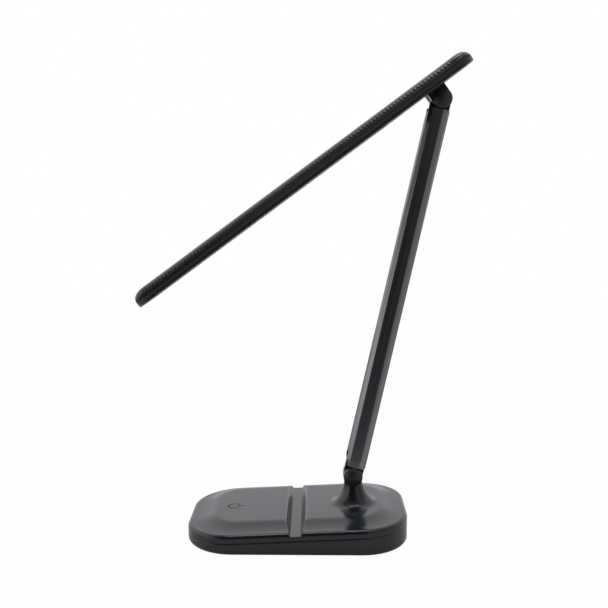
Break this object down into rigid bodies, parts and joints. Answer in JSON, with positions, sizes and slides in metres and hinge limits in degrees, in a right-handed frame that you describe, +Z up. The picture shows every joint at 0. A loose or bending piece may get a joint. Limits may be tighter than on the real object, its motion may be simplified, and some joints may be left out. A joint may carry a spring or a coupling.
{
  "type": "led desk lamp",
  "caption": "Folding LED desk lamp: a weighted rounded base with a phone groove and a touch switch, a slim arm on a friction hinge, and a long flat tilting light head.",
  "frame": {"origin": "middle of the base's outline, on the surface that the lamp stands on", "axes": "+Z up, +X along the base towards the arm, both hinges turn about Y, and the head reaches to -X"},
  "size_m": [0.2701, 0.115, 0.3931],
  "materials": {
    "base_plastic": "satin black moulded plastic",
    "head_plastic": "satin black moulded plastic, finely ribbed on top",
    "hinge_plastic": "semi-matt black glass-filled plastic",
    "cap_plastic": "polished black plastic",
    "arm_metal": "black anodised, brushed lengthwise",
    "mark_ink": "matt black inlay",
    "pad_rubber": "matt",
    "steel": "zinc plated",
    "circuit_board": "solder mask",
    "sensor_foam": "conductive foam",
    "inlet_plastic": "moulded",
    "cable_jacket": "smooth jacket",
    "diffuser_white": "opal, frosted",
    "bare_aluminium": "mill finish",
    "led_board_white": "white solder mask",
    "led_phosphor": "phosphor under clear resin",
    "reflector_white": "bright white",
    "washer_polymer": "slippery polymer"
  },
  "bodies": {
    "base": {"base_top_shell": "base_plastic", "base_tray": "base_plastic", "power_symbol": "mark_ink", "base_pad": "pad_rubber", "ballast_plate": "steel", "control_board": "circuit_board", "touch_pad": "sensor_foam", "base_screws": "steel", "inlet_shell": "steel", "inlet_tongue": "inlet_plastic", "lower_hinge_bolt": "steel", "lower_hinge_nut": "steel", "lower_hinge_washers": "washer_polymer", "lower_hinge_cap_front": "cap_plastic", "lower_hinge_cap_rear": "cap_plastic"},
    "arm": {"arm_tube": "arm_metal", "arm_lower_insert": "hinge_plastic", "arm_upper_insert": "hinge_plastic", "arm_cable": "cable_jacket"},
    "head": {"head_top_shell": "head_plastic", "head_bezel": "head_plastic", "diffuser": "diffuser_white", "heat_spreader": "bare_aluminium", "led_board": "led_board_white", "led_chips": "led_phosphor", "reflector_frame": "reflector_white", "head_bracket": "hinge_plastic", "bracket_screws": "steel", "upper_hinge_bolt": "steel", "upper_hinge_nut": "steel", "upper_hinge_washers": "washer_polymer", "upper_hinge_cap_front": "cap_plastic", "upper_hinge_cap_rear": "cap_plastic"}
  },
  "joints": [
    {"name": "arm_fold", "type": "hinge", "parent": "base", "child": "arm", "pos_m": [0.0461, 0, 0.049], "axis": [0, 1, 0], "range_deg": [-102.45, 17.55]},
    {"name": "head_tilt", "type": "hinge", "parent": "arm", "child": "head", "pos_m": [0.11423, 0, 0.35757], "axis": [0, 1, 0], "range_deg": [-41.25, 138.75]}
  ]
}
